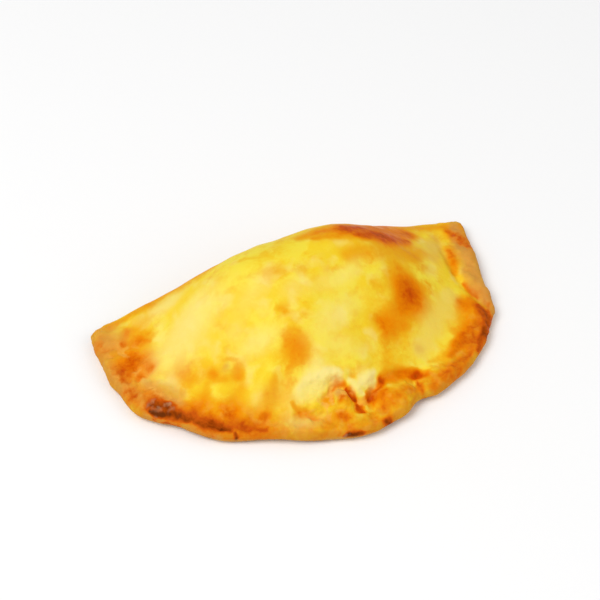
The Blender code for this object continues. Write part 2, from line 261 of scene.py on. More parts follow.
# Bright cream ridges and patches, partly pale dough and partly painted highlights. These strokes
# and spots, and the next ones, have the order of the browned ones
CREAM_AND_HIGHLIGHT_STROKES = (
    ((-17.8, -21.2), (-11.0, -19.0), (-3.6, -20.8), 2.5, 1.0),
    ((-1.6, -23.4), (-0.4, -26.0), (1.4, -28.4), 1.3, 0.80),
    ((1.6, -25.6), (4.4, -24.6), (7.4, -22.9), 1.9, 0.95),
    ((-19.4, -21.8), (-15.2, -24.6), (-9.4, -22.4), 2.0, 0.46),
)
CREAM_AND_HIGHLIGHT_SPOTS = (
    (-43.0, 12.2, 15.0, 7.6, 20.0, 0.62),
    (-8.0, 5.4, 5.0, 3.0, 20.0, 0.30),
    (-25.0, -4.9, 7.0, 3.4, 0.0, 0.50),
    (-20.0, 9.0, 9.0, 4.0, 30.0, 0.30),
    (1.5, -6.0, 10.0, 3.6, 20.0, 0.40),
    (4.0, 4.0, 9.0, 3.0, 10.0, 0.25),
    (-53.0, 1.0, 3.0, 2.0, -40.0, 0.40),
    (-60.1, 5.6, 2.0, 1.4, -40.0, 0.30),
    (-30.6, -17.4, 2.4, 3.8, -40.0, 0.15),
    (-1.0, -14.0, 6.0, 3.0, 0.0, 0.25),
    (-9.8, -17.0, 3.0, 2.4, 0.0, 0.40),
    (-21.6, -29.4, 5.0, 2.6, -20.0, 0.30),
    (-38.0, 20.0, 8.0, 3.4, 24.0, 0.35),
    (-43.6, 29.6, 6.4, 3.4, 8.0, 0.60),
    (12.0, 6.0, 7.0, 2.6, 30.0, 0.25),
    (-30.4, 1.2, 3.8, 3.0, 0.0, 0.25),
    (-6.2, -25.0, 1.4, 1.1, 0.0, 0.45),
    (-18.5, -30.6, 5.0, 2.2, -10.0, 0.20),
)

# Dull, greyish yellow, partly pale dough and partly painted shade on the side away from the light
DULL_AND_SHADE_STROKES = (
    ((48.0, 0.6), (40.6, -7.0), (26.6, -18.6), 4.4, 0.85),
    ((53.8, 24.6), (48.6, 15.0), (43.0, 7.0), 3.6, 0.45),
)
DULL_AND_SHADE_SPOTS = (
    (27.2, -17.8, 4.2, 2.8, 0.0, 0.50),
    (0.8, -22.2, 2.0, 1.6, 0.0, 0.25),
    (-20.0, -20.0, 7.0, 4.0, 0.0, 0.30),
    (2.0, -15.0, 9.0, 4.0, 0.0, 0.25),
    (51.0, 23.0, 4.6, 4.6, 0.0, 0.45),
)

# Dry tan dough without egg wash
DRY_STROKES = (
    ((66.6, 33.0), (61.6, 13.0), (60.4, -4.0), 3.6, 0.90),
    ((60.4, -2.0), (60.0, -7.0), (57.6, -12.6), 1.5, 0.80),
    ((-70.4, 20.0), (-70.4, 12.0), (-66.6, 5.0), 1.3, 0.60),
    ((-64.4, -6.0), (-56.6, -15.4), (-46.0, -23.8), 1.5, 0.78),
    ((-69.4, 23.0), (-67.6, 9.0), (-63.0, -4.0), 2.6, 0.45),
    ((-61.0, 4.8), (-57.0, 0.0), (-51.4, -5.0), 2.8, 0.52),
    ((58.8, 11.0), (58.0, 5.0), (57.4, 0.6), 1.6, 0.50),
    ((56.0, 28.0), (52.0, 22.0), (49.0, 16.0), 4.0, 0.30),
    ((-24.0, -34.4), (-12.0, -38.6), (-8.0, -38.4), 0.9, 0.50),
)
DRY_SPOTS = (
    (-65.2, 28.6, 6.4, 6.4, 0.0, 0.72),
    (59.6, -1.6, 2.4, 4.0, 10.0, 0.60),
    (-5.8, -25.8, 2.1, 1.7, -20.0, 0.90),
    (4.8, -28.6, 1.5, 1.2, 0.0, 0.55),
    (-58.9, 3.6, 2.2, 1.6, -40.0, 0.60),
    (-57.6, -4.6, 4.6, 3.2, -42.0, 0.80),
    (-36.7, -6.2, 1.7, 1.3, -20.0, 0.50),
    (26.5, -17.8, 1.8, 1.4, 0.0, 0.35),
    (-54.6, -6.6, 2.8, 2.0, -40.0, 0.75),
)

# What the crust keeps for its material to read: (attribute, strokes, spots)
MARKS = (
    ("crumpled", (), CRUMPLED),
    ("brown", BROWN_STROKES, BROWN_SPOTS),
    ("cream_and_highlight", CREAM_AND_HIGHLIGHT_STROKES, CREAM_AND_HIGHLIGHT_SPOTS),
    ("dull_and_shade", DULL_AND_SHADE_STROKES, DULL_AND_SHADE_SPOTS),
    ("dry", DRY_STROKES, DRY_SPOTS),
)

# How many places follow the curve of a stroke or crease
BEND_POINTS = 24

# Strokes narrow by this share towards their ends, and every mark ends this sharply
STROKE_TAPER = 0.45
MARK_EDGE = 2.4

# How plan places wander, so that no mark is even: (width of a wave, how far it reaches)
RELIEF_WANDER = (3.0 * MM, 0.5 * MM)
MARK_WANDERS = ((4.0 * MM, 0.8 * MM), (1.6 * MM, 0.3 * MM))

# Heights above the tray at which each thing sets in: (start, rise)
LUMP_FOOT = (1.5 * MM, 1.5 * MM)
CRAG_FOOT = (1.0 * MM, 2.0 * MM)
MARK_FOOT = (1.0 * MM, 1.5 * MM)

# The skin: doubles closer than this are merged, and the fine mesh is smoothed this much
WELD = 0.01 * MM
SMOOTHING = 0.5
SMOOTHING_ROUNDS = 10

# The front outline is read at each degree, from one end of the fold to the other
FRONT_BEARINGS = np.arange(180, 361)
BEARING_REACH = 1.0

# Creases: how far the skin must face up to take one, the share of its width at its ends, and
# the height and width of the banks beside it
CREASE_FACING = 0.3
CREASE_END = 0.5
BANK_HEIGHT = 0.35
BANK_WIDTH = 2.4

# Crags: how soon they are full on the way out, the size and height of the small ones beside
# the large ones, how much more they rise in crumpled places, and their share at the lip
RIM_CRAGS = 1.4
SMALL_CRAG_SIZE = 0.45
SMALL_CRAG_HEIGHT = 0.5
CRUMPLED_CRAGS = 0.9
LIP_CRAGS = 0.4

# Places in the noise, so that no pattern repeats another
WANDER_SHIFTS = (Vector((0.0, 5.0, 2.0)), Vector((9.0, 5.0, 2.0)))
CRAG_SHIFT = Vector((3.0, 1.0, 7.0))
SMALL_CRAG_SHIFT = Vector((1.0, 8.0, 2.0))
SWELL_SHIFT = Vector((6.0, 2.0, 4.0))

# The material's noises: (width of a feature, detail, roughness)
DRIFT_NOISE = (9.0 * MM, 3.0, 0.55)
BLOTCH_NOISE = (6.0 * MM, 3.0, 0.6)
SPECKLE_NOISE = (1.6 * MM, 3.0, 0.65)
TINGE_NOISE = (9.0 * MM, 4.0, 0.6)
CLOUD_NOISE = (11.0 * MM, 4.0, 0.6)
WISP_NOISE = (7.0 * MM, 1.5, 0.5)
FLECK_GLINT_NOISE = (3.2 * MM, 1.5, 0.5)
STREAK_NOISE = (2.6 * MM, 1.5, 0.5)
TRAY_NOISE = (16.0 * MM, 5.0, 0.65)
GLOSS_NOISE = (5.0 * MM, 3.0, 0.6)
PORE_NOISE = (0.9 * MM, 3.0, 0.6)
BLISTER_NOISE = (2.6 * MM, 2.0, 0.5)
CRINKLE_NOISE = (1.4 * MM, 2.0, 0.5)

# What the material makes of a noise or of the rim: (from, to, result at from, result at to)
RIM_BLOTCHES = (0.25, 0.75, 0.16, 0.40)
MOTTLING = (0.3, 0.7, 0.94, 1.06)
GOLDEN_TINGE = (0.50, 0.72, 0.0, 0.17)
CLOUDS = (0.42, 0.62, 0.0, 1.0)
WISPS = (0.48, 0.78, 0.0, 0.43)
FLECK_GLINTS = (0.49, 0.66, 0.0, 1.0)
STREAKS = (0.46, 0.66, 0.0, 0.80)
TRAY_BROWNING = (0.35, 0.68, 0.0, 1.0)
RIM_FLECK_GLINTS = (0.10, 0.70, 0.0, 0.22)
RIM_SHADE = (0.25, 0.85, 0.0, 0.16)
LIP_SHADE = (0.93, 1.0, 0.0, 0.42)
WASH_ROUGHNESS = (0.3, 0.7, 0.34, 0.52)
UNDER_ROUGHNESS = (1.0, 0.0, 0.0, 0.8)

# Where a finish, a painted shade or a painted highlight shows: (value at which it is gone,
# value at which it is full)
ABOVE_TRAY = (1.6 * MM, 3.2 * MM)
OUTSIDE_CREAM_AND_HIGHLIGHT = (0.5, 0.0)
UNBROWNED = (0.30, 0.05)
UNBURNT = (0.65, 0.30)
TAN_SHOWS = (0.70, 0.40)
FLECK_GLINTS_SHOW = (0.62, 0.40)
BURNT_GLINTS_SHOW = (0.62, 0.82)
LIP_SHADE_SHOWS = (0.70, 0.40)
RIM_SHADE_SHOWS = (0.95, 0.70)

# Amounts in the material: drift of the patterns, painted shade and light on the crags, painted
# glints and roughness of crumpled and dry places, and the parts of the bump
NOISE_MIDDLE = (0.5, 0.5, 0.5)
DRIFT_REACH = 7.0 * MM
CRAG_HOLLOW_SHADE = -0.12
CRUMPLED_FLECKS = 0.78
DRY_ROUGHNESS = 0.62
PORE_SHARE = 0.35
CRINKLE_SHARE = 2.0
BUMP_STRENGTH = 0.5
BUMP_HEIGHT = 0.35 * MM

# Values that are the same all over the crust
SHADER_VALUES = (
    ("IOR", 1.08),
    ("Specular Tint", (1.0, 0.8, 0.3, 1.0)),
    ("Subsurface Weight", 0.08),
    ("Subsurface Radius", (1.0, 0.45, 0.15)),
    ("Subsurface Scale", 1.5 * MM),
)

# Where a mix node keeps its share, its two colours and its result, which share their names
COLOUR_SOCKETS = (0, 6, 7)
COLOUR_RESULT = 2

# How the shader nodes are laid out, in columns
LAYOUT_ROWS = 8
LAYOUT_START = (-1800, 900)
LAYOUT_STEP = (190, -230)

# The stage: each light's name, place and width, the floor's finish, the sky, and how near the
# camera sees
KEY_LIGHT = ("key", (-0.86, -0.14, 1.38), 1.1)
FILL_LIGHT = ("fill", (1.12, -0.96, 0.96), 1.3)
FLOOR_ROUGHNESS = 0.8
SKY_COLOUR = (1.0, 1.0, 1.0, 1.0)
CLIP_START = 0.01


class CrustSettings(bpy.types.PropertyGroup):
    """Sizes and colours of the crust."""

    fineness: bpy.props.FloatProperty(
        name="Fineness", description="Edge length of the skin's mesh",
        default=0.54 * MM, unit="LENGTH", precision=5,
    )
    crag_height: bpy.props.FloatProperty(
        name="Crag Height", description="Height of the rim's crags",
        default=0.55 * MM, unit="LENGTH", precision=5,
    )
    crag_size: bpy.props.FloatProperty(
        name="Crag Size", description="Width of the rim's crags",
        default=2.6 * MM, unit="LENGTH", precision=5,
    )
    swell_height: bpy.props.FloatProperty(
        name="Swell Height", description="Height of the top's soft unevenness",
        default=0.3 * MM, unit="LENGTH", precision=5,
    )
    swell_size: bpy.props.FloatProperty(
        name="Swell Size", description="Width of the top's soft unevenness",
        default=6.0 * MM, unit="LENGTH", precision=5,
    )
    # Also sets how far in the rim's painted shade and painted glints reach
    rim_width: bpy.props.FloatProperty(
        name="Rim Width", description="How far in the rim's browning reaches",
        default=13.0 * MM, unit="LENGTH", precision=5,
    )
    lip_width: bpy.props.FloatProperty(
        name="Lip Width", description="Width of the smoother outer edge",
        default=3.0 * MM, unit="LENGTH", precision=5,
    )
    yellow: bpy.props.FloatVectorProperty(
        name="Yellow", description="Egg-washed top",
        default=(0.92, 0.64, 0.026), subtype="COLOR", size=3,
    )
    lemon: bpy.props.FloatVectorProperty(
        name="Lemon", description="Brightest top",
        default=(0.93, 0.735, 0.055), subtype="COLOR", size=3,
    )
    gold: bpy.props.FloatVectorProperty(
        name="Gold", description="First browning",
        default=(0.87, 0.43, 0.010), subtype="COLOR", size=3,
    )
    orange: bpy.props.FloatVectorProperty(
        name="Orange", description="Browned spots",
        default=(0.83, 0.235, 0.001), subtype="COLOR", size=3,
    )
    rust: bpy.props.FloatVectorProperty(
        name="Rust", description="Deeply browned spots",
        default=(0.62, 0.086, 0.001), subtype="COLOR", size=3,
    )
    brown: bpy.props.FloatVectorProperty(
        name="Brown", description="Brown folds",
        default=(0.35, 0.052, 0.001), subtype="COLOR", size=3,
    )
    burnt: bpy.props.FloatVectorProperty(
        name="Burnt", description="Burnt folds",
        default=(0.15, 0.028, 0.003), subtype="COLOR", size=3,
    )
    # Partly pale dough, partly painted highlights
    cream_and_highlight: bpy.props.FloatVectorProperty(
        name="Cream", description="Raised dough that stayed light",
        default=(0.95, 0.785, 0.26), subtype="COLOR", size=3,
    )
    # Partly pale dough, partly painted shade
    dull_and_shade: bpy.props.FloatVectorProperty(
        name="Dull", description="Flat dough that stayed pale",
        default=(0.88, 0.64, 0.10), subtype="COLOR", size=3,
    )
    # Painted highlights: light glints on the lumpy rim
    fleck_glint: bpy.props.FloatVectorProperty(
        name="Fleck", description="Light flecks on the rim",
        default=(0.93, 0.46, 0.075), subtype="COLOR", size=3,
    )
    # Painted highlights: greyish glints on burnt folds
    burnt_glint: bpy.props.FloatVectorProperty(
        name="Ash", description="Greyish flecks on burnt folds",
        default=(0.55, 0.30, 0.15), subtype="COLOR", size=3,
    )
    # Painted shade, darkest at the rim's outermost edge
    painted_rim_shade: bpy.props.FloatVectorProperty(
        name="Lip", description="Outermost edge of the rim",
        default=(0.48, 0.18, 0.022), subtype="COLOR", size=3,
    )
    tan: bpy.props.FloatVectorProperty(
        name="Tan", description="Dry, unwashed dough",
        default=(0.70, 0.32, 0.060), subtype="COLOR", size=3,
    )
    tray_pale: bpy.props.FloatVectorProperty(
        name="Tray Pale", description="Paler patches of the underside",
        default=(0.68, 0.37, 0.09), subtype="COLOR", size=3,
    )
    tray_dark: bpy.props.FloatVectorProperty(
        name="Tray Dark", description="Darker patches of the underside",
        default=(0.44, 0.17, 0.03), subtype="COLOR", size=3,
    )


class StageSettings(bpy.types.PropertyGroup):
    """Floor, lights and camera."""

    floor_size: bpy.props.FloatProperty(
        name="Floor Size", description="Width of the floor",
        default=3.0, unit="LENGTH",
    )
    floor_colour: bpy.props.FloatVectorProperty(
        name="Floor Colour", description="Pale floor",
        default=(0.99, 0.99, 0.99), subtype="COLOR", size=3,
    )
    key_power: bpy.props.FloatProperty(
        name="Key Power", description="Strength of the large soft light",
        default=15.0, unit="POWER",
    )
    fill_power: bpy.props.FloatProperty(
        name="Fill Power", description="Strength of the light from the other side",
        default=4.8, unit="POWER",
    )
    sky: bpy.props.FloatProperty(
        name="Sky", description="Strength of the even light from all round",
        default=0.5,
    )
    lens: bpy.props.FloatProperty(
        name="Lens", description="Focal length in millimetres",
        default=85.0,
    )
    distance: bpy.props.FloatProperty(
        name="Distance", description="From the camera to its target",
        default=0.4916, unit="LENGTH",
    )
    azimuth: bpy.props.FloatProperty(
        name="Azimuth", description="Camera's turn round the part",
        default=math.radians(-23.5), subtype="ANGLE",
    )
    elevation: bpy.props.FloatProperty(
        name="Elevation", description="Camera's angle above the floor",
        default=math.radians(46.0), subtype="ANGLE",
    )
    target: bpy.props.FloatVectorProperty(
        name="Target", description="Place that the camera looks at",
        default=(0.0027, 0.0250, 0.0), subtype="TRANSLATION",
    )


# Selecting, modifiers and points

def pick_only(piece):
    """Deselects everything and makes one piece active."""
    bpy.ops.object.select_all(action="DESELECT")
    piece.select_set(True)
    bpy.context.view_layer.objects.active = piece


def apply_modifier(piece, kind, **values):
    """Adds one modifier, sets its values and applies it."""
    pick_only(piece)
    modifier = piece.modifiers.new(kind.lower(), kind)
    for name, value in values.items():
        setattr(modifier, name, value)
    bpy.ops.object.modifier_apply(modifier=modifier.name)


def read_points(piece):
    """A piece's points and their normals, as arrays."""
    count = len(piece.data.vertices)
    points = np.empty(count * 3, np.float32)
    normals = np.empty(count * 3, np.float32)
    piece.data.vertices.foreach_get("co", points)
    piece.data.vertices.foreach_get("normal", normals)
    return points.reshape(-1, 3).astype(float), normals.reshape(-1, 3).astype(float)


def write_points(piece, points):
    """Moves a piece's points to new places."""
    piece.data.vertices.foreach_set("co", points.astype(np.float32).ravel())
    piece.data.update()


def store(piece, name, values):
    """Keeps one number for each point of a piece, for its material to read."""
    layer = piece.data.attributes.new(name, "FLOAT", "POINT")
    layer.data.foreach_set("value", values.astype(np.float32))


def smooth(values):
    """A rise from 0 to 1 with level ends."""
    clamped = np.clip(values, 0.0, 1.0)
    return clamped * clamped * (3.0 - 2.0 * clamped)


def above(points, foot):
    """A rise from 0 at the tray to 1, for each point."""
    start, rise = foot
    return smooth((points[:, 2] - start) / rise)


def noise_at(points, size, shift):
    """Smooth noise from -1 to 1 with features of one size."""
    return np.array([noise.noise(Vector(point) / size + shift) for point in points])


def wander(points, size, reach):
    """A plan offset for each point that makes the marks on it uneven."""
    return np.stack([noise_at(points, size, shift) for shift in WANDER_SHIFTS], 1) * reach


# Strokes and spots in the plan

def bend_points(start, bend, end):
    """Places along a curve from start to end that leans towards its bend, in metres."""
    share = np.linspace(0.0, 1.0, BEND_POINTS)[:, None]
    start, bend, end = (np.array(place) * MM for place in (start, bend, end))
    return start * (1 - share) ** 2 + bend * 2 * share * (1 - share) + end * share ** 2


def run_distance(plan, run):
    """How far each plan place is from a run of places, and how far along it the nearest is."""
    best = np.full(len(plan), np.inf)
    progress = np.zeros(len(plan))
    for step in range(len(run) - 1):
        along = run[step + 1] - run[step]
        share = np.clip(((plan - run[step]) @ along) / (along @ along), 0.0, 1.0)
        away = np.linalg.norm(plan - run[step] - share[:, None] * along, axis=1)
        nearer = away < best
        best = np.where(nearer, away, best)
        progress = np.where(nearer, (step + share) / (len(run) - 1), progress)
    return best, progress


def oval_reach(plan, x, y, half_length, half_width, turn):
    """How far each plan place lies from the middle of a turned oval, 1 at its edge."""
    across = plan - np.array((x, y)) * MM
    cosine, sine = math.cos(math.radians(turn)), math.sin(math.radians(turn))
    along = (across[:, 0] * cosine + across[:, 1] * sine) / (half_length * MM)
    aside = (across[:, 1] * cosine - across[:, 0] * sine) / (half_width * MM)
    return np.hypot(along, aside)


def marks(plan, strokes, spots):
    """How strongly the strokes and spots mark each plan place, from 0 to 1."""
    left = np.ones(len(plan))
    for start, bend, end, half_width, strength in strokes:
        away, progress = run_distance(plan, bend_points(start, bend, end))
        taper = 1.0 - STROKE_TAPER + STROKE_TAPER * np.sin(np.pi * progress)
        left *= 1.0 - strength * np.exp(-((away / (half_width * MM * taper)) ** MARK_EDGE))
    for *oval, strength in spots:
        left *= 1.0 - strength * np.exp(-(oval_reach(plan, *oval) ** MARK_EDGE))
    return 1.0 - left


# Shape of the crust

def node_copy(node, name):
    """A copy of a CAD node's mesh as one closed skin."""
    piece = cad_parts[node].copy()
    piece.data = piece.data.copy()
    piece.name = name
    piece.parent = None
    piece.matrix_world.identity()
    bpy.context.scene.collection.objects.link(piece)
    pick_only(piece)
    bpy.ops.object.mode_set(mode="EDIT")
    bpy.ops.mesh.select_all(action="SELECT")
    bpy.ops.mesh.remove_doubles(threshold=WELD)
    bpy.ops.object.mode_set(mode="OBJECT")
    return piece


def rim_distance(points):
    """How far each point lies inside the outline, measured towards the middle of the fold."""
    across = points[:, :2] - np.array(FOLD_MIDDLE)
    reach = np.hypot(across[:, 0], across[:, 1])
    bearing = np.degrees(np.arctan2(across[:, 1], across[:, 0])) % 360.0
    outline = np.array([
        reach[np.abs(bearing - each) < BEARING_REACH].max() for each in FRONT_BEARINGS
    ])
    front = across[:, 1] < 0.0
    edge = np.where(front, np.interp(bearing, FRONT_BEARINGS, outline), 0.0)
    side = np.where(across[:, 0] < 0.0, outline[0], outline[-1])
    return np.where(front, edge - reach, side - np.abs(across[:, 0]))


def raise_lumps(piece):
    """Raises the lumps of dough."""
    points, normals = read_points(piece)
    plan = points[:, :2] + wander(points, *RELIEF_WANDER)
    height = np.zeros(len(points))
    for *oval, rise in LUMPS:
        height += rise * MM * np.exp(-(oval_reach(plan, *oval) ** 2))
    write_points(piece, points + normals * (height * above(points, LUMP_FOOT))[:, None])


def press_creases(piece):
    """Presses the creases in, each between two low banks."""
    points, normals = read_points(piece)
    plan = points[:, :2] + wander(points, *RELIEF_WANDER)
    depth = np.zeros(len(points))
    for start, bend, end, deep, half_width in CREASES:
        away, progress = run_distance(plan, bend_points(start, bend, end))
        taper = np.sin(np.pi * progress) ** 0.5
        width = half_width * MM * (CREASE_END + (1.0 - CREASE_END) * taper)
        groove = np.exp(-((away / width) ** 2))
        banks = BANK_HEIGHT * np.exp(-((away / (BANK_WIDTH * width)) ** 2))
        depth += deep * MM * taper * (groove - banks)
    level = smooth(normals[:, 2] / CREASE_FACING)
    write_points(piece, points - normals * (depth * level)[:, None])


def roughen(piece, settings, near_rim):
    """Adds crags to the rim and a soft unevenness to the top, and gives the crags' heights."""
    points, normals = read_points(piece)
    upper = above(points, CRAG_FOOT)
    crags = noise_at(points, settings.crag_size, CRAG_SHIFT)
    small_size = SMALL_CRAG_SIZE * settings.crag_size
    crags += SMALL_CRAG_HEIGHT * noise_at(points, small_size, SMALL_CRAG_SHIFT)
    swell = noise_at(points, settings.swell_size, SWELL_SHIFT)
    crumpled = marks(points[:, :2], (), CRUMPLED)
    reach = np.maximum(smooth(near_rim * RIM_CRAGS), crumpled)
    reach *= 1.0 + CRUMPLED_CRAGS * crumpled
    inner = smooth((1.0 - near_rim) * settings.rim_width / settings.lip_width)
    reach *= LIP_CRAGS + (1.0 - LIP_CRAGS) * inner
    height = crags * settings.crag_height * reach + swell * settings.swell_height
    write_points(piece, points + normals * (height * upper)[:, None])
    return crags * upper


def fit_in_box(piece):
    """Keeps the skin inside the box of the solid that it replaces."""
    points, _ = read_points(piece)
    low, high = np.array(CAD_LOW), np.array(CAD_HIGH)
    middle = (low + high) / 2.0
    for axis in (0, 1):
        across = points[:, axis] - middle[axis]
        room = (high - middle)[axis] / np.abs(across).max()
        points[:, axis] = middle[axis] + across * min(1.0, room)
    points[:, 2] = np.clip(points[:, 2], low[2], None)
    points[:, 2] *= min(1.0, high[2] / points[:, 2].max())
    write_points(piece, points)


def store_marks(piece):
    """Keeps what marks the crust, uneven at the edges and fading towards the tray."""
    points, _ = read_points(piece)
    plan = points[:, :2]
    for size, reach in MARK_WANDERS:
        plan = plan + wander(points, size, reach)
    upper = above(points, MARK_FOOT)
    for name, strokes, spots in MARKS:
        store(piece, name, marks(plan, strokes, spots) * upper)


# Material helpers

class Nodes:
    """Adds shader nodes from left to right."""

    def __init__(self, material):
        material.use_nodes = True
        self.tree = material.node_tree
        self.shader = self.tree.nodes["Principled BSDF"]
        self.count = 0

    def add(self, kind, **values):
        """Adds a node in the next free place of the layout."""
        node = self.tree.nodes.new(kind)
        steps = divmod(self.count, LAYOUT_ROWS)
        node.location = [a + b * c for a, b, c in zip(LAYOUT_START, LAYOUT_STEP, steps)]
        self.count += 1
        for name, value in values.items():
            setattr(node, name, value)
        return node

    def plug(self, source, socket):
        """Links an output to a socket, or sets the socket to a value."""
        if isinstance(source, bpy.types.NodeSocket):
            self.tree.links.new(source, socket)
        else:
            socket.default_value = source

    def math(self, operation, first, second, clamp=False):
        """One operation on two numbers."""
        node = self.add("ShaderNodeMath", operation=operation, use_clamp=clamp)
        self.plug(first, node.inputs[0])
        self.plug(second, node.inputs[1])
        return node.outputs[0]

    def vector(self, operation, first, second):
        """One operation on two vectors."""
        node = self.add("ShaderNodeVectorMath", operation=operation)
        self.plug(first, node.inputs[0])
        self.plug(second, node.inputs[1])
        return node.outputs[0]

    def scaled(self, vector, factor):
        """A vector made longer or shorter."""
        node = self.add("ShaderNodeVectorMath", operation="SCALE")
        self.plug(vector, node.inputs[0])
        self.plug(factor, node.inputs["Scale"])
        return node.outputs[0]

    def screened(self, first, second):
        """Two shares of something put together: 1 - (1 - first) (1 - second)."""
        rest = self.math("SUBTRACT", 1.0, first)
        return self.math("ADD", first, self.math("MULTIPLY", second, rest))

    def ranged(self, value, low, high, bottom=0.0, top=1.0):
        """A smooth step from bottom to top while a value goes from low to high."""
        node = self.add("ShaderNodeMapRange", interpolation_type="SMOOTHSTEP")
        sources = (value, low, high, bottom, top)
        names = ("Value", "From Min", "From Max", "To Min", "To Max")
        for source, name in zip(sources, names):
            self.plug(source, node.inputs[name])
        return node.outputs["Result"]

    def noise(self, vector, size, detail, roughness, output="Fac"):
        """Noise whose features have a size in metres."""
        node = self.add("ShaderNodeTexNoise")
        self.plug(vector, node.inputs["Vector"])
        self.plug(1.0 / size, node.inputs["Scale"])
        self.plug(detail, node.inputs["Detail"])
        self.plug(roughness, node.inputs["Roughness"])
        return node.outputs[output]

    def mixed(self, share, first, second):
        """A share of the second colour in the first."""
        node = self.add("ShaderNodeMix", data_type="RGBA")
        for source, socket in zip((share, first, second), COLOUR_SOCKETS):
            self.plug(source, node.inputs[socket])
        return node.outputs[COLOUR_RESULT]

    def tinted(self, share, colour, hue):
        """A share of one of the settings' colours in a colour."""
        return self.mixed(share, colour, (*hue, 1.0))

    def attribute(self, name):
        """A number that the piece keeps for each point."""
        return self.add("ShaderNodeAttribute", attribute_name=name).outputs["Fac"]


def browning(nodes, place, rim, mottle, outside_cream_and_highlight):
    """How brown each place is, from 0 to 1; painted shade and light follow the rim's crags."""
    blotches = nodes.ranged(nodes.noise(place, *BLOTCH_NOISE), *RIM_BLOTCHES)
    rim_brown = nodes.math("MULTIPLY", rim, blotches)
    brown = nodes.math("MULTIPLY", nodes.screened(rim_brown, nodes.attribute("brown")), mottle)
    # Painted shade and light: the rim's crag hollows darken and their tops lighten
    on_rim = nodes.math("MULTIPLY", rim, CRAG_HOLLOW_SHADE)
    brown = nodes.math("ADD", brown, nodes.math("MULTIPLY", nodes.attribute("crag"), on_rim))
    tinge = nodes.ranged(nodes.noise(place, *TINGE_NOISE), *GOLDEN_TINGE)
    return nodes.math("ADD", brown, nodes.math("MULTIPLY", tinge, outside_cream_and_highlight), clamp=True)


def browning_ramp(nodes, brown, settings):
    """The colours from washed yellow to burnt."""
    stops = (
        (0.0, settings.yellow),
        (0.24, settings.gold),
        (0.48, settings.orange),
        (0.70, settings.rust),
        (0.86, settings.brown),
        (1.0, settings.burnt),
    )
    ramp = nodes.add("ShaderNodeValToRGB")
    band = ramp.color_ramp
    band.interpolation = "LINEAR"
    while len(band.elements) < len(stops):
        band.elements.new(0.5)
    for element, (position, colour) in zip(band.elements, stops):
        element.position = position
        element.color = (*colour, 1.0)
    nodes.plug(brown, ramp.inputs["Fac"])
    return ramp.outputs["Color"]


def skin_bump(nodes, place, crumpled):
    """Pores, tiny blisters and, in crumpled places, fine crinkles."""
    pores = nodes.math("MULTIPLY", nodes.noise(place, *PORE_NOISE), PORE_SHARE)
    skin = nodes.math("ADD", pores, nodes.noise(place, *BLISTER_NOISE))
    share = nodes.math("MULTIPLY", crumpled, CRINKLE_SHARE)
    crinkles = nodes.math("MULTIPLY", nodes.noise(place, *CRINKLE_NOISE), share)
    bump = nodes.add("ShaderNodeBump")
    bump.inputs["Strength"].default_value = BUMP_STRENGTH
    bump.inputs["Distance"].default_value = BUMP_HEIGHT
    nodes.plug(nodes.math("ADD", skin, crinkles), bump.inputs["Height"])
    return bump.outputs["Normal"]


